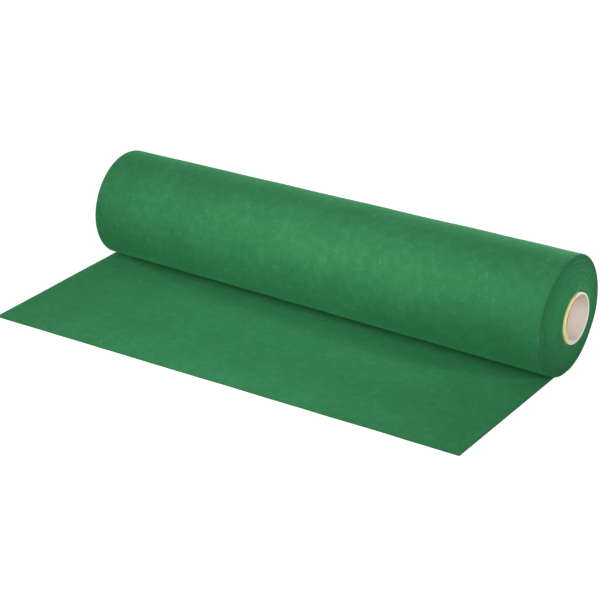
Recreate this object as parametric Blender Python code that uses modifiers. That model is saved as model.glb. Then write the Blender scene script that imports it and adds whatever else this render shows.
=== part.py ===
"""A roll of craft felt on its cardboard core, with the loose end unrolled flat.

The roll lies along X on the surface z = 0, and its loose end runs off toward -Y. The inner turns
have slid toward +X past the outer ones, and the core stands proud of them there. The origin is on
the surface, under the middle of the roll's axis. Sizes are in metres.
"""

import math

import bmesh
import bpy

# Felt
FELT_WIDTH = 0.450
FELT_THICKNESS = 0.0012

# Roll, wound a little looser toward +X
RADIUS_LEFT = 0.0482
RADIUS_RIGHT = 0.0525
TELESCOPING = 0.005  # how far the innermost turn has slid toward +X past the outermost one
RIM_ROUNDING = 0.0015
RIM_ANGLES = (30, 60, 90)
FLAT_SPOT = 0.006  # how far the flat under the roll reaches behind its axis
TURN_SIDES = 72

# Loose end, run off slightly askew
LOOSE_LENGTH = 0.1766
LOOSE_ANGLE = math.radians(1.2)
LOOSE_SHIFT = -0.0045
STRAIGHT_HEIGHT = 0.024  # above it the roll's ends are square again

# Core, cut a little longer than the felt is wide
CORE_LENGTH = 0.457
CORE_RADIUS = 0.022
CORE_WALL = 0.0025
CORE_PROUD = 0.002  # past the innermost turn
CORE_GAP = 0.0003
CORE_SIDES = 48

# The winding's ends are cut into this many sectors, whose sides meet the points of both outlines
END_SECTORS = 24

# Worked out from the sizes above
ROLL_RADIUS = (RADIUS_LEFT + RADIUS_RIGHT) / 2
BORE_RADIUS = CORE_RADIUS + CORE_GAP
TAPER = (RADIUS_RIGHT - RADIUS_LEFT) / FELT_WIDTH
TOUCHING = 1e-6


def turn_radius(angle):
    """The last turn's outer radius, at an angle from straight down, up the back and round."""
    return ROLL_RADIUS - FELT_THICKNESS * angle / math.tau


FLAT_ANGLE = math.asin(FLAT_SPOT / ROLL_RADIUS)
AXIS_HEIGHT = turn_radius(FLAT_ANGLE) * math.cos(FLAT_ANGLE)


def make_material(name, colour, roughness):
    material = bpy.data.materials.new(name)
    material.use_nodes = True
    surface = material.node_tree.nodes["Principled BSDF"]
    surface.inputs["Base Color"].default_value = (*colour, 1.0)
    surface.inputs["Roughness"].default_value = roughness
    surface.inputs["Metallic"].default_value = 0.0
    return material


def add_to(collection, name, data, material):
    piece = bpy.data.objects.new(name, data)
    collection.objects.link(piece)
    data.materials.append(material)
    return piece


def around_axis(radius, angle):
    """The (y, z) of a point at this radius from the axis, at an angle from straight down."""
    return radius * math.sin(angle), AXIS_HEIGHT - radius * math.cos(angle)


def felt_outline():
    """The felt as seen along the roll: its last turn, from the flat spot up the back, over the
    top and down the front onto the loose end, and then the loose end's two faces."""
    landing = math.tau - math.acos((AXIS_HEIGHT - FELT_THICKNESS) / turn_radius(math.tau))
    sides = [math.tau * side / TURN_SIDES for side in range(TURN_SIDES)]
    angles = [FLAT_ANGLE] + [angle for angle in sides if FLAT_ANGLE < angle < landing]
    turn = [around_axis(turn_radius(angle), angle) for angle in angles]
    landed = (around_axis(turn_radius(landing), landing)[0], FELT_THICKNESS)
    return turn + [landed, (-LOOSE_LENGTH, FELT_THICKNESS), (-LOOSE_LENGTH, 0.0)]


def bore_outline():
    return [around_axis(BORE_RADIUS, math.tau * side / CORE_SIDES) for side in range(CORE_SIDES)]


def add_loop(curve, points):
    spline = curve.splines.new("POLY")
    spline.points.add(len(points) - 1)
    for target, (across, up) in zip(spline.points, points):
        target.co = (across, up, 0.0, 1.0)
    spline.use_cyclic_u = True


def extrude_section(name, loops, width):
    """A mesh of the section that the loops bound, given as (y, z) and extruded along X."""
    curve = bpy.data.curves.new(name, "CURVE")
    curve.dimensions = "2D"
    curve.fill_mode = "BOTH"
    curve.extrude = width / 2
    for points in loops:
        add_loop(curve, points)
    outline = bpy.data.objects.new(name, curve)
    outline.rotation_euler = (math.radians(90), 0, math.radians(90))
    bpy.context.scene.collection.objects.link(outline)
    bpy.context.view_layer.update()
    evaluated = outline.evaluated_get(bpy.context.evaluated_depsgraph_get())
    mesh = bpy.data.meshes.new_from_object(evaluated)
    mesh.transform(outline.matrix_world)
    bpy.data.objects.remove(outline)
    bpy.data.curves.remove(curve)
    return mesh


def rim_stations():
    """Where along X the rounded rims are cut into rings, at both ends of the roll."""
    insets = [RIM_ROUNDING * (1 - math.cos(math.radians(angle))) for angle in RIM_ANGLES]
    return [side * (FELT_WIDTH / 2 - inset) for side in (-1, 1) for inset in insets]


def rim_drop(x):
    """How far the rounding lowers the roll's surface at x, as a quarter circle."""
    inset = min(FELT_WIDTH / 2 - abs(x), RIM_ROUNDING)
    return RIM_ROUNDING - math.sqrt(RIM_ROUNDING**2 - (RIM_ROUNDING - inset) ** 2)


def ease(share):
    """0 to 1 with level ends."""
    share = min(max(share, 0.0), 1.0)
    return share * share * (3 - 2 * share)


def settle_felt(x, y, z):
    """Where a point of an even, square-ended winding lies on the roll: tapered and telescoped,
    with rounded rims, and with the loose end and the turn above it askew."""
    freed = 1 - ease((z - FELT_THICKNESS) / STRAIGHT_HEIGHT)
    run = max(-y, 0.0)
    moved_x = x + freed * (LOOSE_SHIFT + run * math.sin(LOOSE_ANGLE))
    flat = y < FLAT_SPOT + TOUCHING and z < FELT_THICKNESS + TOUCHING
    if flat:
        return moved_x, y + x * math.sin(LOOSE_ANGLE) * run / LOOSE_LENGTH, z
    rise = z - AXIS_HEIGHT
    reach = math.hypot(y, rise)
    share = (reach - BORE_RADIUS) / (ROLL_RADIUS - BORE_RADIUS)
    growth = share * (TAPER * x - rim_drop(x) * (1 - freed))
    scale = 1 + growth / reach
    slid_x = moved_x + TELESCOPING * (1 - share)
    return slid_x, y * scale, AXIS_HEIGHT + TAPER * x + rise * scale


def cut_faces(shape, faces, point, normal):
    """New edges where a plane crosses the faces."""
    edges = {edge for face in faces for edge in face.edges}
    vertices = {vertex for face in faces for vertex in face.verts}
    cut = [*vertices, *edges, *faces]
    bmesh.ops.bisect_plane(shape, geom=cut, dist=TOUCHING, plane_co=point, plane_no=normal)


def end_faces(shape):
    return [face for face in shape.faces if abs(face.normal.x) > 0.5]


def make_felt(collection, material):
    mesh = extrude_section("felt", [felt_outline(), bore_outline()], FELT_WIDTH)
    shape = bmesh.new()
    shape.from_mesh(mesh)
    bmesh.ops.remove_doubles(shape, verts=shape.verts, dist=TOUCHING)
    shape.normal_update()
    for sector in range(END_SECTORS // 2):
        angle = math.tau * sector / END_SECTORS
        across = (0, math.cos(angle), math.sin(angle))
        cut_faces(shape, end_faces(shape), (0, 0, AXIS_HEIGHT), across)
    for station in rim_stations():
        cut_faces(shape, shape.faces[:], (station, 0, 0), (1, 0, 0))
    for vertex in shape.verts:
        vertex.co = settle_felt(*vertex.co)
    bmesh.ops.recalc_face_normals(shape, faces=shape.faces)
    shape.to_mesh(mesh)
    shape.free()
    mesh.shade_smooth()
    mesh.set_sharp_from_angle(angle=math.radians(40))
    return add_to(collection, "felt", mesh, material)


def make_core_tube(collection, material):
    """The cardboard tube: its wall's section turned about the axis, which the taper tilts."""
    end = CORE_LENGTH / 2
    inner = CORE_RADIUS - CORE_WALL
    wall = [(CORE_RADIUS, end), (CORE_RADIUS, -end), (inner, -end), (inner, end)]
    mesh = bpy.data.meshes.new("core_tube")
    mesh.from_pydata([(out, 0, along) for out, along in wall], [(0, 1), (1, 2), (2, 3), (3, 0)], [])
    tube = add_to(collection, "core_tube", mesh, material)
    turned = tube.modifiers.new("turned", "SCREW")
    turned.steps = turned.render_steps = CORE_SIDES
    turned.use_merge_vertices = True
    turned.merge_threshold = 0.0001
    turned.use_smooth_shade = True
    middle = FELT_WIDTH / 2 + TELESCOPING + CORE_PROUD - end
    tube.location = (middle, 0, AXIS_HEIGHT + TAPER * middle)
    tube.rotation_euler = (0, math.radians(90) - math.atan(TAPER), 0)
    return tube


def main():
    for leftover in list(bpy.data.objects):
        bpy.data.objects.remove(leftover)
    roll = bpy.data.collections.new("roll_of_felt")
    bpy.context.scene.collection.children.link(roll)
    make_felt(roll, make_material("green felt", (0.040, 0.220, 0.087), 0.95))
    make_core_tube(roll, make_material("core board", (0.66, 0.57, 0.47), 0.85))


main()
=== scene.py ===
"""The looks of a roll of green craft felt on its cardboard core, with its loose end unrolled flat.

Everything is in metres. +X runs along the roll toward the end where the core stands proud, -Y the way
the loose end runs, +Z up, and z = 0 is the surface. The felt is followed as one strip: from its cut
edge along the loose end, under the roll, up the back, over the top and round inward to the core.
"""

import math

import bmesh
import bpy
import numpy as np
from mathutils import Matrix, Vector

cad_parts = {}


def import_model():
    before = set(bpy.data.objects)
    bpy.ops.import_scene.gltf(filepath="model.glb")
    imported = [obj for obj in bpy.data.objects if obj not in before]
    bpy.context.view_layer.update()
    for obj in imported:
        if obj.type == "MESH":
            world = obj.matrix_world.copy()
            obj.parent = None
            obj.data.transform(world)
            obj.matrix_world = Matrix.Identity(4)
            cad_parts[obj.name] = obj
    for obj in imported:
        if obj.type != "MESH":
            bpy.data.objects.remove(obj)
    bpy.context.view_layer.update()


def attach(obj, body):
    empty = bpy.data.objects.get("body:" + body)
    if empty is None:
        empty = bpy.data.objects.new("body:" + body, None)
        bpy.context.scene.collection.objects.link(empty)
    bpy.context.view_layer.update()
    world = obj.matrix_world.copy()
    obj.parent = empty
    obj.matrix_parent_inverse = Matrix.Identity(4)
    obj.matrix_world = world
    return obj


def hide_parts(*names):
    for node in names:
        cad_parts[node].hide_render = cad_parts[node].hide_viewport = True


# Felt
FELT_WIDTH = 0.450
FELT_THICKNESS = 0.0012
EDGE_BULGE = 0.00025  # the cut edges are this round
HALF_FACE = FELT_WIDTH / 2 - EDGE_BULGE
UNEVENNESS = 0.00022  # how far the felt lies out of flat
UNEVEN_WAVES = (0.05, 0.14)  # shortest and longest
UNEVEN_SEED = 5

# Roll
RADIUS_LEFT = 0.0482
RADIUS_RIGHT = 0.0525
ROLL_RADIUS = (RADIUS_LEFT + RADIUS_RIGHT) / 2
TAPER = (RADIUS_RIGHT - RADIUS_LEFT) / FELT_WIDTH
BORE_RADIUS = 0.0223
TURNS = 22  # turns' room between the core and the roll's side
TURN_GAP = 0.00003  # between one turn and the next
LAST_TURN_SLACK = 0.0003  # extra room under the last turn
FLATTENED = 0.00037  # how far the roll's weight presses it down
FLAT_BLEND = 0.0003  # the width over which its flat spot rounds off
RIM_ROUNDING = 0.0015
FRONT = math.radians(258)  # the winding's angle where it faces the viewer

# How the turns have slid along the roll
TELESCOPING = 0.005  # toward +X from the last turn to the core
DRAWN_OUT = 0.0013  # how much further the turns on the core reach toward +X
SUNKEN = 0.0009  # how far the turns just inside the last one lie back from it, at the front
WANDERING = ((0.00012, 0.31, 1.0), (0.00008, 0.77, 0.0))  # each wave's size, pace and phase

# Loose end
LOOSE_LENGTH = 0.1766
LOOSE_ANGLE = math.radians(1.2)
LOOSE_SHIFT = -0.0045  # along X, where it leaves the roll
STRAIGHT_TURN = 1.3  # radians of the last turn in which the strip swings back square
LAST_ANGLE = math.tau + 0.30  # the winding's angle to which the loose end's own piece runs
INNER_ANGLE = math.tau * (TURNS - 1)  # its angle where the strip ends on the core, 21 times round

# Where each of these comes in along the strip: none of it at the first place, all at the second
FREE_RUN = (0, 0.05)  # metres run out: the felt's own thickness, free of the roll's pressure
RIM_HEIGHT = (FELT_THICKNESS, 0.0252)  # metres up the roll: the rounding of the rim
SLACK_ANGLES = (3.5, 6.1)  # radians
UNEVEN_ANGLES = (0, 0.5)  # radians
EVEN_ANGLES = (5.6, 4.4)  # radians, going back
WANDERING_TURNS = (0.6, 1.6)
SUNKEN_TURNS = (0.7, 2.3)
RISEN_TURNS = (8.1, 2.6)  # going back
DRAWN_OUT_TURNS = (15, 21)
FRONT_COSINES = (0.30, 0.90)  # of the angle from the front

# Grids of the felt
WINDING_STEPS = 90  # stations in each of the inner turns
LAST_TURN_STEPS = 140
LAID_STEPS = 76
WIDTH_STEPS = 111
EDGE_STEPS = 5  # points round each cut edge
FIRST_STEP = 0.0006  # metres from the cut end to the next station
RIM_INSETS = np.array([0, 0.0005, 0.001, 0.0015])  # columns crowd this near the edges
WINDING_INSET = 0.012  # the one further column that the inner turns have
CLEAR_INSET = 0.005  # where the loose end's even columns start
SHARP_ANGLE = math.radians(60)  # faces that meet at more than this keep their corner

# Core
CORE_LENGTH = 0.457
CORE_RADIUS = 0.022
CORE_WALL = 0.0025
CORE_ROUNDING = 0.0004  # of the wall's cut edges
CORE_PROUD = 0.002
MOUTH_LEAN = 0.0038  # how far the wall's inner face leans in at the mouth, on the viewer's side
MOUTH_WORN = 0.0008  # how far the mouth is worn wider on the other side
MOUTH_DEPTH = 0.02
CORE_SIDES = 96
CORNER_STEPS = 6
WALL_STEPS = 11

# How sets of fibres, of light streaks (painted highlight on tufts) and of dark streaks (painted shade in
# hollow spots) lie in the felt: turned by radians, drawn out so many times and, so that no two sets
# coincide, shifted
FIBRES = ((0.35, 4.5, 0.0), (1.45, 4.5, 0.0), (2.5, 4.5, 0.0))
PAINTED_HIGHLIGHT_WISPS = ((0.12, 4.5, 1.7), (0.30, 4.5, 5.3), (1.35, 4.0, 8.9), (0.7, 1.3, 11.9))
PAINTED_SHADE_HOLLOWS = ((0.0, 3.5, 12.3), (0.9, 1.5, 15.1))

# Colour of the light that the felt's fibres throw back at a slant
SHEEN_GREEN = (0.18, 1.0, 0.39, 1)


def ease(value, start, end):
    """0 at start and 1 at end with level ends, 3 s^2 - 2 s^3, and held there outside them. It falls
    where end comes before start."""
    share = np.clip((value - start) / (end - start), 0, 1)
    return share * share * (3 - 2 * share)


def soft_least(first, second, width):
    """The lesser of two values, its corner rounded by a parabola of this width."""
    overlap = np.maximum(width - np.abs(first - second), 0)
    return np.minimum(first, second) - overlap * overlap / (4 * width)


def ripple(along, across, waves, seed):
    """Smooth unevenness between about -1 and 1: a sum of plane waves, sin(k . p + phase), whose
    directions and phases are drawn once from the seed and whose lengths lie between waves."""
    draw = np.random.default_rng(seed)
    total = 0
    count = 14
    for _ in range(count):
        heading = draw.uniform(0, math.tau)
        size = math.tau / draw.uniform(*waves)
        phase = draw.uniform(0, math.tau)
        total = total + np.sin(size * (along * math.cos(heading) + across * math.sin(heading)) + phase)
    return total / math.sqrt(2 * count)


def outer_radius(across):
    """The roll's radius at a place along it: a cone from RADIUS_LEFT to RADIUS_RIGHT."""
    return ROLL_RADIUS + TAPER * across


def rim_drop(across):
    """How far the rounded rim falls below the roll's side: a quarter circle of RIM_ROUNDING."""
    inset = np.clip(FELT_WIDTH / 2 - np.abs(across), 0, RIM_ROUNDING)
    return RIM_ROUNDING - np.sqrt(RIM_ROUNDING**2 - (RIM_ROUNDING - inset) ** 2)


def sideways(angle, run):
    """How far the strip has slid along X: askew on the loose end, back to square within the last
    turn as a cubic that starts with the loose end's slope, then telescoped toward +X, with a
    shallow dip just inside the last turn and a little wandering from turn to turn."""
    back = np.clip(angle / STRAIGHT_TURN, 0, 1)
    start = 2 * back**3 - 3 * back**2 + 1
    slope = back**3 - 2 * back**2 + back
    swing = LOOSE_SHIFT * start - math.sin(LOOSE_ANGLE) * STRAIGHT_TURN * ROLL_RADIUS * slope
    turn = angle / math.tau
    telescoped = TELESCOPING * turn / TURNS + DRAWN_OUT * ease(turn, *DRAWN_OUT_TURNS)
    toward_front = ease(np.cos(angle - FRONT), *FRONT_COSINES)
    dip = SUNKEN * toward_front * ease(turn, *SUNKEN_TURNS) * ease(turn, *RISEN_TURNS)
    wander = sum(size * np.sin(pace * angle + phase) for size, pace, phase in WANDERING)
    wander = wander * ease(turn, *WANDERING_TURNS)
    return swing + run * math.sin(LOOSE_ANGLE) + telescoped - dip + wander


def felt_points(wound, across, depth, unevenness):
    """Points of the felt strip.

    wound is the angle about the roll's axis in radians, 0 where the felt leaves the roll under the
    axis, growing inward up the back, and negative along the loose end, where -wound times the roll's
    radius is the distance run. across is the place over the width and depth goes from 0 at the face
    turned out to 1 at the face turned in. On the roll a point's radius is R - pitch * wound / 2 pi
    less its depth, and its distance below the axis is capped where the roll's weight flattens it.
    On the flat the strip runs toward -Y, and its cut end is turned by LOOSE_ANGLE.
    """
    angle = np.maximum(wound, 0)
    run = np.maximum(-wound, 0) * ROLL_RADIUS
    free = ease(run, *FREE_RUN)
    full = outer_radius(across)
    pitch = (full - LAST_TURN_SLACK - BORE_RADIUS) / TURNS
    wound_thickness = pitch - TURN_GAP
    thickness = wound_thickness + (FELT_THICKNESS - wound_thickness) * free
    slack = LAST_TURN_SLACK * ease(angle, *SLACK_ANGLES)
    radius = full - slack - pitch * angle / math.tau - depth * thickness
    share = (radius - BORE_RADIUS) / (full - BORE_RADIUS)
    height = full - radius * np.cos(angle)
    radius = radius - share * rim_drop(across) * ease(height, *RIM_HEIGHT)
    radius = radius + unevenness * ease(angle, *UNEVEN_ANGLES) * ease(angle, *EVEN_ANGLES)
    below = soft_least(radius * np.cos(angle), radius - FLATTENED * share, FLAT_BLEND)
    x = across + sideways(angle, run)
    y = radius * np.sin(angle) - run + across * math.sin(LOOSE_ANGLE) * run / LOOSE_LENGTH
    rolled = full - FLATTENED - below
    laid = depth * thickness + np.abs(unevenness) * free
    return np.stack([x, y, np.where(wound > 0, rolled, laid)], -1)


def width_columns(insets, between):
    """Places over the felt's width: insets from its left edge, those between, insets from its right."""
    return np.concatenate([insets - HALF_FACE, between, HALF_FACE - insets[::-1]])


def strip_section(columns):
    """The strip's cross-section as a closed loop of (across, depth, distance round it): the face
    turned out, one cut edge as a half ellipse, the face turned in, and the other cut edge."""
    turn = np.linspace(0, math.pi, EDGE_STEPS + 2)[1:-1]
    bulge, through = HALF_FACE + EDGE_BULGE * np.sin(turn), (1 - np.cos(turn)) / 2
    across = np.concatenate([columns, bulge, columns[::-1], -bulge])
    depth = np.concatenate([0 * columns, through, 0 * columns + 1, through[::-1]])
    steps = np.hypot(np.diff(across, append=across[0]), np.diff(depth, append=depth[0]) * FELT_THICKNESS)
    return across, depth, np.concatenate([[0], np.cumsum(steps)])


def closed_strip(name, points, around, along):
    """A closed mesh from a grid of points, one row for each station along the strip and one column
    for each point of its section, closed at both ends. Its UV map holds metres of felt: the
    distance along it and the distance round its section."""
    rows, columns = points.shape[:2]
    index = np.arange(rows * columns).reshape(rows, columns)
    right = np.roll(index, -1, 1)
    quads = np.stack([index[:-1], right[:-1], right[1:], index[1:]], -1).reshape(-1, 4)
    ends = [index[0, ::-1].tolist(), index[-1].tolist()]
    mesh = bpy.data.meshes.new(name)
    mesh.from_pydata(points.reshape(-1, 3).tolist(), [], quads.tolist() + ends)
    low_u, low_v = np.meshgrid(along[:-1], around[:-1], indexing="ij")
    high_u, high_v = np.meshgrid(along[1:], around[1:], indexing="ij")
    u = np.stack([low_u, low_u, high_u, high_u], -1)
    v = np.stack([low_v, high_v, high_v, low_v], -1)
    first_end = np.stack([np.full(columns, along[0]), around[-2::-1]], -1)
    last_end = np.stack([np.full(columns, along[-1]), around[:-1]], -1)
    laid_out = np.concatenate([np.stack([u, v], -1).reshape(-1, 2), first_end, last_end])
    mesh.uv_layers.new(name="felt_metres").data.foreach_set("uv", laid_out.astype(np.float32).ravel())
    return mesh


def add_piece(name, mesh, material):
    """Puts a mesh into the scene: its faces turned outward, and smooth but for its corners."""
    shape = bmesh.new()
    shape.from_mesh(mesh)
    bmesh.ops.recalc_face_normals(shape, faces=shape.faces)
    shape.to_mesh(mesh)
    shape.free()
    mesh.shade_smooth()
    mesh.set_sharp_from_angle(angle=SHARP_ANGLE)
    mesh.materials.append(material)
    piece = bpy.data.objects.new(name, mesh)
    bpy.context.scene.collection.objects.link(piece)
    return piece


def make_winding(material):
    """The inner turns as a real spiral, from under the last turn in to the core. Only its ends are
    seen, so its columns crowd there."""
    columns = width_columns(np.append(RIM_INSETS, WINDING_INSET), [])
    across, depth, around = strip_section(columns)
    wound = np.linspace(LAST_ANGLE, INNER_ANGLE, WINDING_STEPS * (TURNS - 2))
    points = felt_points(wound[:, None], across[None], depth[None], 0.0)
    pitch = (ROLL_RADIUS - BORE_RADIUS) / TURNS
    along = LOOSE_LENGTH + ROLL_RADIUS * wound - pitch * wound**2 / (2 * math.tau)
    return add_piece("felt_winding", closed_strip("felt_winding", points, around, along), material)


def make_loose_end(material):
    """The last turn and the loose end, on a fine grid that carries their unevenness."""
    clear = HALF_FACE - CLEAR_INSET
    columns = width_columns(RIM_INSETS, np.linspace(-clear, clear, WIDTH_STEPS))
    across, depth, around = strip_section(columns)
    laid = np.linspace(-LOOSE_LENGTH / ROLL_RADIUS, 0, LAID_STEPS)
    rolled = np.linspace(0, LAST_ANGLE, LAST_TURN_STEPS)[1:]
    wound = np.concatenate([laid[:1], laid[:1] + FIRST_STEP / ROLL_RADIUS, laid[1:], rolled])
    along = LOOSE_LENGTH + wound * ROLL_RADIUS
    uneven = UNEVENNESS * ripple(along[:, None], across[None], UNEVEN_WAVES, UNEVEN_SEED)
    points = felt_points(wound[:, None], across[None], depth[None], uneven)
    return add_piece("felt_loose_end", closed_strip("felt_loose_end", points, around, along), material)


def core_surface():
    """The core's wall: its section, a long rectangle with rounded ends, turned about the axis. Near
    the right end the inner face leans in, most on the viewer's side, so the mouth is off centre.
    Returns points, the depth through the wall (0 outside, 1 inside) and metres round and along."""
    end, middle, half_wall = CORE_LENGTH / 2, CORE_RADIUS - CORE_WALL / 2, CORE_WALL / 2
    arc = np.linspace(0, math.pi / 2, CORNER_STEPS)
    corner_in, corner_out = CORE_ROUNDING * (1 - np.cos(arc)), CORE_ROUNDING * (1 - np.sin(arc))
    outer_end = np.stack([half_wall - corner_in, end - corner_out], -1)
    inner_end = np.stack([-half_wall + corner_in[::-1], end - corner_out[::-1]], -1)
    stops = np.linspace(-1, 1, WALL_STEPS + 2)[1:-1, None]
    inner_wall = np.concatenate([0 * stops - half_wall, -stops * (end - MOUTH_DEPTH)], -1)
    right = np.concatenate([outer_end, inner_end])
    left = np.stack([right[::-1, 0], -right[::-1, 1]], -1)
    outer_wall = inner_wall[::-1] * (-1, 1)
    section = np.concatenate([right, inner_wall, left, outer_wall])
    out, along = section[None, :, 0], section[None, :, 1]
    angle = np.linspace(0, math.tau, CORE_SIDES + 1)[:-1]
    turned = angle[:, None]
    depth = np.broadcast_to(0.5 - out / CORE_WALL, (CORE_SIDES, len(section)))
    mouth = depth * ease(along, end - MOUTH_DEPTH, end)
    viewer_side = 0.5 - 0.5 * np.sin(turned)
    radius = middle + out - mouth * (MOUTH_LEAN * viewer_side**2 - MOUTH_WORN)
    local = np.stack(np.broadcast_arrays(along, radius * np.sin(turned), -radius * np.cos(turned)), -1)
    tilt = np.array(Matrix.Rotation(-math.atan(TAPER), 3, "Y"))
    centre = FELT_WIDTH / 2 + TELESCOPING + CORE_PROUD - end
    place = np.array([centre, 0, ROLL_RADIUS - FLATTENED + TAPER * centre])
    return local @ tilt.T + place, depth, angle * CORE_RADIUS, section[:, 1]


def make_core(material):
    """The core's points joined both ways round, with its UV map in metres round and along it."""
    points, depth, round_metres, along = core_surface()
    rows, columns = points.shape[:2]
    index = np.arange(rows * columns).reshape(rows, columns)
    over, down = np.roll(index, -1, 0), np.roll(index, -1, 1)
    quads = np.stack([index, down, np.roll(over, -1, 1), over], -1).reshape(-1, 4)
    mesh = bpy.data.meshes.new("core_board")
    mesh.from_pydata(points.reshape(-1, 3).tolist(), [], quads.tolist())
    layers = mesh.attributes.new("wall_depth", "FLOAT", "POINT")
    layers.data.foreach_set("value", depth.astype(np.float32).ravel())
    beside = np.append(round_metres[1:], math.tau * CORE_RADIUS)
    further = np.roll(along, -1)
    u = np.stack([round_metres, round_metres, beside, beside], -1)[:, None]
    v = np.stack([along, further, further, along], -1)[None]
    laid_out = np.stack(np.broadcast_arrays(u, v), -1)
    mesh.uv_layers.new(name="board_metres").data.foreach_set("uv", laid_out.astype(np.float32).ravel())
    return add_piece("core_board", mesh, material)


class Amount:
    """A number that varies over a surface: a socket whose operators add Math nodes."""

    def __init__(self, shader, socket):
        self.shader = shader
        self.socket = socket

    def math(self, operation, *others):
        inputs = dict(enumerate([self, *others]))
        return self.shader.node("ShaderNodeMath", {"operation": operation}, inputs)

    def __add__(self, other):
        return self.math("ADD", other)

    def __sub__(self, other):
        return self.math("SUBTRACT", other)

    def __rsub__(self, other):
        return self.shader.node("ShaderNodeMath", {"operation": "SUBTRACT"}, {0: other, 1: self})

    def __mul__(self, other):
        return self.math("MULTIPLY", other)

    def __truediv__(self, other):
        return self.math("DIVIDE", other)

    __radd__ = __add__
    __rmul__ = __mul__


class Shader:
    """A material's nodes, ending in one Principled surface."""

    def __init__(self, name):
        self.material = bpy.data.materials.new(name)
        self.material.use_nodes = True
        self.tree = self.material.node_tree
        self.tree.nodes.clear()

    def node(self, kind, settings=(), inputs=(), output=0):
        """A node of this kind: its settings first, then its sockets' values or links."""
        made = self.tree.nodes.new(kind)
        for name, value in dict(settings).items():
            if name == "stops":
                self.set_stops(made.color_ramp, value)
            else:
                setattr(made, name, value)
        for name, value in dict(inputs).items():
            socket = made.inputs[name]
            if isinstance(value, Amount):
                self.tree.links.new(value.socket, socket)
            else:
                socket.default_value = value
        return Amount(self, made.outputs[output] if made.outputs else None)

    @staticmethod
    def set_stops(ramp, stops):
        while len(ramp.elements) < len(stops):
            ramp.elements.new(1.0)
        for element, (position, colour) in zip(ramp.elements, stops):
            element.position = position
            element.color = (*colour, 1.0)

    def finish(self, inputs):
        surface = self.node("ShaderNodeBsdfPrincipled", inputs=inputs)
        self.node("ShaderNodeOutputMaterial", inputs={"Surface": surface})
        return self.material

    def metres(self, uv_map):
        """The piece's own UV map, which holds metres."""
        return self.node("ShaderNodeUVMap", {"uv_map": uv_map})

    def value_of(self, attribute):
        """A number that the piece's mesh holds at each point."""
        return self.node("ShaderNodeAttribute", {"attribute_name": attribute}, output="Fac")

    def part_of(self, place, axis):
        """One coordinate of a place: X, Y or Z."""
        return self.node("ShaderNodeSeparateXYZ", inputs={"Vector": place}, output=axis)

    def laid(self, place, turned=0.0, drawn=1.0, shift=0.0):
        """The place measured along and across a direction turned about the surface's normal, so
        that a pattern laid on it is drawn out along that direction, and shifted."""
        inputs = {"Vector": place, "Location": (shift, 0, 0), "Rotation": (0, 0, turned)}
        inputs["Scale"] = (drawn, 1, 1)
        return self.node("ShaderNodeMapping", {"vector_type": "TEXTURE"}, inputs)

    def noise(self, place, scale, detail=2.0, roughness=0.5, distortion=0.0):
        """Noise from 0 to 1 with this many lumps to a metre."""
        inputs = {"Vector": place, "Scale": scale, "Detail": detail}
        inputs |= {"Roughness": roughness, "Distortion": distortion}
        return self.node("ShaderNodeTexNoise", inputs=inputs)

    def flecks(self, place, lays, scale, least):
        """How much of a sparse pattern there is: noise for each way that it lies, shown only where
        it passes the least, and added up."""
        total = 0
        for lay in lays:
            strand = self.noise(self.laid(place, *lay), scale, detail=1.0)
            total = total + self.span(strand, least, 0.80)
        return total

    def ramp(self, amount, stops):
        return self.node("ShaderNodeValToRGB", {"stops": stops}, {"Fac": amount})

    def span(self, amount, low, high):
        """0 where the amount is low or less, 1 where it is high or more, with soft ends between."""
        inputs = {"Value": amount, "From Min": low, "From Max": high}
        return self.node("ShaderNodeMapRange", {"interpolation_type": "SMOOTHSTEP"}, inputs)

    def mix(self, amount, first, second):
        """The second colour by this amount over the first. The node keeps its colour sockets at 6
        and 7, and their result at 2."""
        settings = {"data_type": "RGBA", "blend_type": "MIX"}
        return self.node("ShaderNodeMix", settings, {0: amount, 6: first, 7: second}, output=2)

    def bump(self, height, distance):
        inputs = {"Height": height, "Distance": distance, "Strength": 0.5}
        return self.node("ShaderNodeBump", inputs=inputs)


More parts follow.
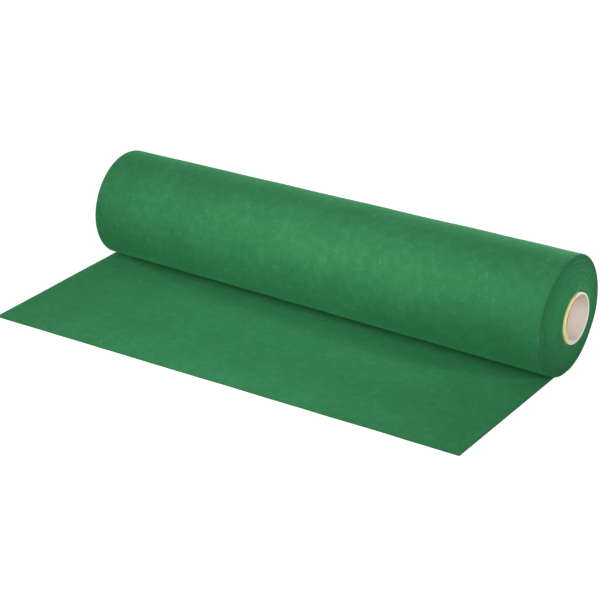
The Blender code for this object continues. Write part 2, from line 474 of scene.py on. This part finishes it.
def felt_material():
    """Green needle felt: matted fibres that lie every way, broad cloudiness, soft mottling about
    seven millimetres across, small lumps, and sparse light and dark streaks, most of them along the
    felt, raised in the bump where a tuft stands up and sunk where a hollow shows; the light ones are a
    painted highlight on the tufts and the dark ones painted shade in the hollow spots."""
    shader = Shader("green_felt")
    place = shader.metres("felt_metres")
    cloudy = shader.noise(place, 26.0, detail=1.0)
    mottle = shader.noise(place, 135.0, roughness=0.55)
    lumps = shader.noise(place, 420.0)
    fibres = 0
    for lay in FIBRES:
        fibres = fibres + shader.noise(shader.laid(place, *lay), 1900.0, roughness=0.6, distortion=0.6)
    patches = shader.span(shader.noise(shader.laid(place, shift=3.1), 40.0, detail=1.0), 0.40, 0.62)
    # Light streaks are painted highlight on raised tufts, and dark streaks painted shade in sunk hollow
    # spots
    painted_highlight_wisps = shader.flecks(place, PAINTED_HIGHLIGHT_WISPS, 360.0, 0.67)
    painted_shade_hollows = shader.flecks(place, PAINTED_SHADE_HOLLOWS, 340.0, 0.68)
    tone = 0.5 + (cloudy - 0.5) * 0.26 + (mottle - 0.5) * 0.48
    tone = tone + (lumps - 0.5) * 0.16 + (fibres / len(FIBRES) - 0.5) * 0.26
    # The tufts lighten the colour as painted highlight, and the hollow spots darken it as painted shade
    tone = tone + (painted_highlight_wisps * 0.38 - painted_shade_hollows * 0.34) * (patches * 0.7 + 0.3)
    dark, plain, light = (0.016, 0.092, 0.035), (0.027, 0.152, 0.059), (0.050, 0.238, 0.100)
    colour = shader.ramp(tone, [(0.12, dark), (0.5, plain), (0.9, light)])
    height = mottle * 0.9 + lumps * 0.4 + fibres * 0.12 + painted_highlight_wisps * 0.4 - painted_shade_hollows * 0.4
    finish = {"Base Color": colour, "Roughness": 0.7, "Normal": shader.bump(height, 0.00035)}
    finish |= {"Specular IOR Level": 1.0, "Specular Tint": SHEEN_GREEN}
    finish |= {"Sheen Weight": 0.3, "Sheen Tint": SHEEN_GREEN, "Sheen Roughness": 0.5}
    return shader.finish(finish)


def board_material():
    """Spiral-wound board: straw-coloured plies, paler except on the viewer's side, an even
    pale pink-grey liner inside, a thin orange-peach glued line between them at the cut rim, darkened
    above the axis on the viewer's side as painted shade, and faint slanting seams where plies meet."""
    shader = Shader("core_board")
    place = shader.metres("board_metres")
    depth = shader.value_of("wall_depth")
    flecks = shader.noise(place, 900.0, detail=3.0, roughness=0.6)
    fibre = shader.noise(shader.laid(place, 0.7, 5.0), 1500.0)
    grain = fibre * 0.6 + shader.noise(place, 90.0, detail=1.0) * 0.4
    kraft = shader.ramp(grain, [(0.3, (0.70, 0.60, 0.27)), (0.7, (0.84, 0.76, 0.42))])
    liner = shader.ramp(grain, [(0.3, (0.88, 0.78, 0.71)), (0.7, (0.91, 0.82, 0.755))])
    # Dark colour used as painted shade on the rim's glued line
    painted_shade_brown = shader.ramp(flecks, [(0.3, (0.20, 0.09, 0.03)), (0.7, (0.36, 0.18, 0.08))])
    pale_glue, far_side_pale, worn = (0.80, 0.52, 0.32, 1), (0.78, 0.75, 0.63, 1), (0.56, 0.47, 0.38, 1)
    in_the_room = shader.node("ShaderNodeTexCoord", output="Object")
    height = shader.part_of(in_the_room, "Z") - ROLL_RADIUS
    viewer_side = 1 - shader.span(shader.part_of(in_the_room, "Y") - height * 0.27, -0.012, -0.006)
    # Painted shade: the rim's glued line turns dark above the axis and stays orange-peach below
    glue_and_painted_shade = shader.mix(shader.span(height, -0.008, 0.004), pale_glue, painted_shade_brown)
    # Away from the viewer's side the plies and the glued line take one pale colour
    kraft = shader.mix(viewer_side, far_side_pale, kraft)
    glue_and_painted_shade = shader.mix(viewer_side, far_side_pale, glue_and_painted_shade)
    outside = 1 - shader.span(depth, 0.58, 0.66)
    inside = shader.span(depth, 0.86, 0.94)
    colour = shader.mix(inside, shader.mix(outside, glue_and_painted_shade, kraft), liner)
    slant = shader.part_of(shader.laid(place, turned=0.785), "X")
    seam = (slant * 16.0).math("FRACT")
    whole = shader.span(seam, 0.0, 0.012) * (1 - shader.span(seam, 0.988, 1.0))
    colour = shader.mix(whole, shader.mix(0.75, worn, colour), colour)
    normal = shader.bump(flecks * 0.5 + whole * 0.3, 0.00008)
    finish = {"Base Color": colour, "Roughness": 0.85, "Specular IOR Level": 0.3, "Normal": normal}
    return shader.finish(finish)


def studio_material():
    """A pale studio, lit from within so that it stays white in soft shade."""
    shader = Shader("studio_floor")
    finish = {"Base Color": (0.30, 0.30, 0.30, 1), "Roughness": 0.9, "Specular IOR Level": 0.0}
    finish |= {"Emission Color": (1, 1, 1, 1), "Emission Strength": 0.93}
    return shader.finish(finish)


def stand_in_studio(name, points, faces, material):
    """Adds a stage piece whose own glow isn't thrown back onto the roll."""
    mesh = bpy.data.meshes.new(name)
    mesh.from_pydata(points.tolist(), [], faces.tolist())
    mesh.materials.append(material)
    stage = bpy.data.objects.new(name, mesh)
    stage.visible_diffuse = False
    stage.visible_glossy = False
    bpy.context.scene.collection.objects.link(stage)
    return stage


def make_studio():
    """A wide floor a hair under the felt, and far off a ring of wall to meet it: points on a circle,
    once at the floor and once at the wall's height."""
    material = studio_material()
    floor_reach, floor_height = 20.0, -0.0003
    corners = np.array([(-1, -1), (1, -1), (1, 1), (-1, 1)]) * floor_reach
    floor_points = np.column_stack([corners, np.full(len(corners), floor_height)])
    stand_in_studio("studio_floor", floor_points, np.array([[0, 1, 2, 3]]), material)
    sides, wall_reach, wall_height = 64, 19.0, 9.0
    angle = np.linspace(0, math.tau, sides + 1)[:-1]
    ring = np.stack([wall_reach * np.cos(angle), wall_reach * np.sin(angle)], -1)
    foot = np.column_stack([ring, np.full(sides, floor_height)])
    head = np.column_stack([ring, np.full(sides, wall_height)])
    lower = np.arange(sides)
    following = (lower + 1) % sides
    quads = np.stack([following, lower, lower + sides, following + sides], -1)
    wall = stand_in_studio("studio_wall", np.concatenate([foot, head]), quads, material)
    wall.visible_shadow = False


def direction(bearing, rise):
    """The unit vector toward this bearing, from -Y toward +X, and this rise, both in degrees."""
    bearing, rise = math.radians(bearing), math.radians(rise)
    level = math.cos(rise)
    return np.array([math.sin(bearing) * level, -math.cos(bearing) * level, math.sin(rise)])


def make_camera():
    """The photograph's view: its bearing round the roll, its height and a slight lean."""
    bearing, rise, lean = 33.24, 24.29, math.radians(0.85)
    place = (0.9282, -1.4697, 0.7920)
    frame_width, focal_length = 600, 2200  # both in pixels of the frame
    sideways_on, toward = direction(bearing + 90, 0), direction(bearing, rise)
    upward = np.cross(toward, sideways_on)
    right = math.cos(lean) * sideways_on + math.sin(lean) * upward
    up = math.cos(lean) * upward - math.sin(lean) * sideways_on
    turned = Matrix(np.stack([right, up, toward], 1).tolist()).to_4x4()
    data = bpy.data.cameras.new("camera")
    data.lens = data.sensor_width * focal_length / frame_width
    camera = bpy.data.objects.new("camera", data)
    camera.matrix_world = Matrix.Translation(place) @ turned
    bpy.context.scene.collection.objects.link(camera)
    bpy.context.scene.camera = camera


def hang_light(name, kind, power, aim, bearing, rise, distance):
    """A light seen from the aim at this bearing, rise and distance, facing it, out of the picture."""
    toward = Vector(direction(bearing, rise))
    data = bpy.data.lights.new(name, kind)
    data.energy = power
    light = bpy.data.objects.new(name, data)
    light.location = Vector(aim) + toward * distance
    light.rotation_euler = toward.to_track_quat("Z", "Y").to_euler()
    light.visible_camera = False
    bpy.context.scene.collection.objects.link(light)
    return data


def add_box(name, bearing, rise, distance, size, power, aim=(0, -0.05, 0.05)):
    """A square soft box, aimed at the front of the roll where no other aim is given."""
    hang_light(name, "AREA", power, aim, bearing, rise, distance).size = size


def add_spot(name, bearing, rise, reach, power, lift=0.0, distance=0.5):
    """A narrow beam onto the end of the roll on its own side, as wide there as its reach to each
    side, aimed at the core's axis or lifted above it."""
    end = math.copysign(FELT_WIDTH / 2 + TELESCOPING, bearing)
    beam = hang_light(name, "SPOT", power, (end, 0, ROLL_RADIUS + lift), bearing, rise, distance)
    beam.spot_size = 2 * math.atan(reach / distance)
    beam.spot_blend = 0.6
    beam.shadow_soft_size = 0.04


def make_lights():
    """Two small soft boxes close in front of the roll, four wide ones around and above it, three narrow
    beams onto its ends, and a dim even studio."""
    # Bearing and rise in degrees, distance and size in metres, power in watts
    add_box("near_box", 0, 42, 0.40, 0.30, 1.42, aim=(-0.02, -0.07, 0.045))
    add_box("low_box", -18, 8, 0.80, 0.30, 0.95)
    add_box("right_box", 33, 24, 2.5, 1.0, 15)
    add_box("left_box", -60, 20, 2.5, 1.0, 2)
    add_box("top_box", 0, 88, 2.5, 1.0, 8)
    add_box("back_box", 180, 16, 2.5, 1.0, 18)
    # Bearing and rise in degrees, reach in metres, power in watts
    add_spot("end_spot", 90, 16, 0.064, 6.6, lift=0.012)
    add_spot("core_spot", 42, -3, 0.030, 6.2)
    add_spot("left_spot", -90, 6, 0.054, 7)
    world = bpy.data.worlds.new("studio")
    world.use_nodes = True
    background = world.node_tree.nodes["Background"]
    background.inputs["Color"].default_value = (1, 1, 1, 1)
    background.inputs["Strength"].default_value = 0.10
    bpy.context.scene.world = world
    bpy.context.scene.view_settings.view_transform = "Standard"


def main():
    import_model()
    felt = felt_material()
    winding = make_winding(felt)
    loose_end = make_loose_end(felt)
    core = make_core(board_material())
    for piece in (winding, loose_end, core):
        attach(piece, "root")
    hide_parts("felt")
    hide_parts("felt")
    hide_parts("core_tube")
    make_studio()
    make_camera()
    make_lights()
    bpy.context.view_layer.update()


main()
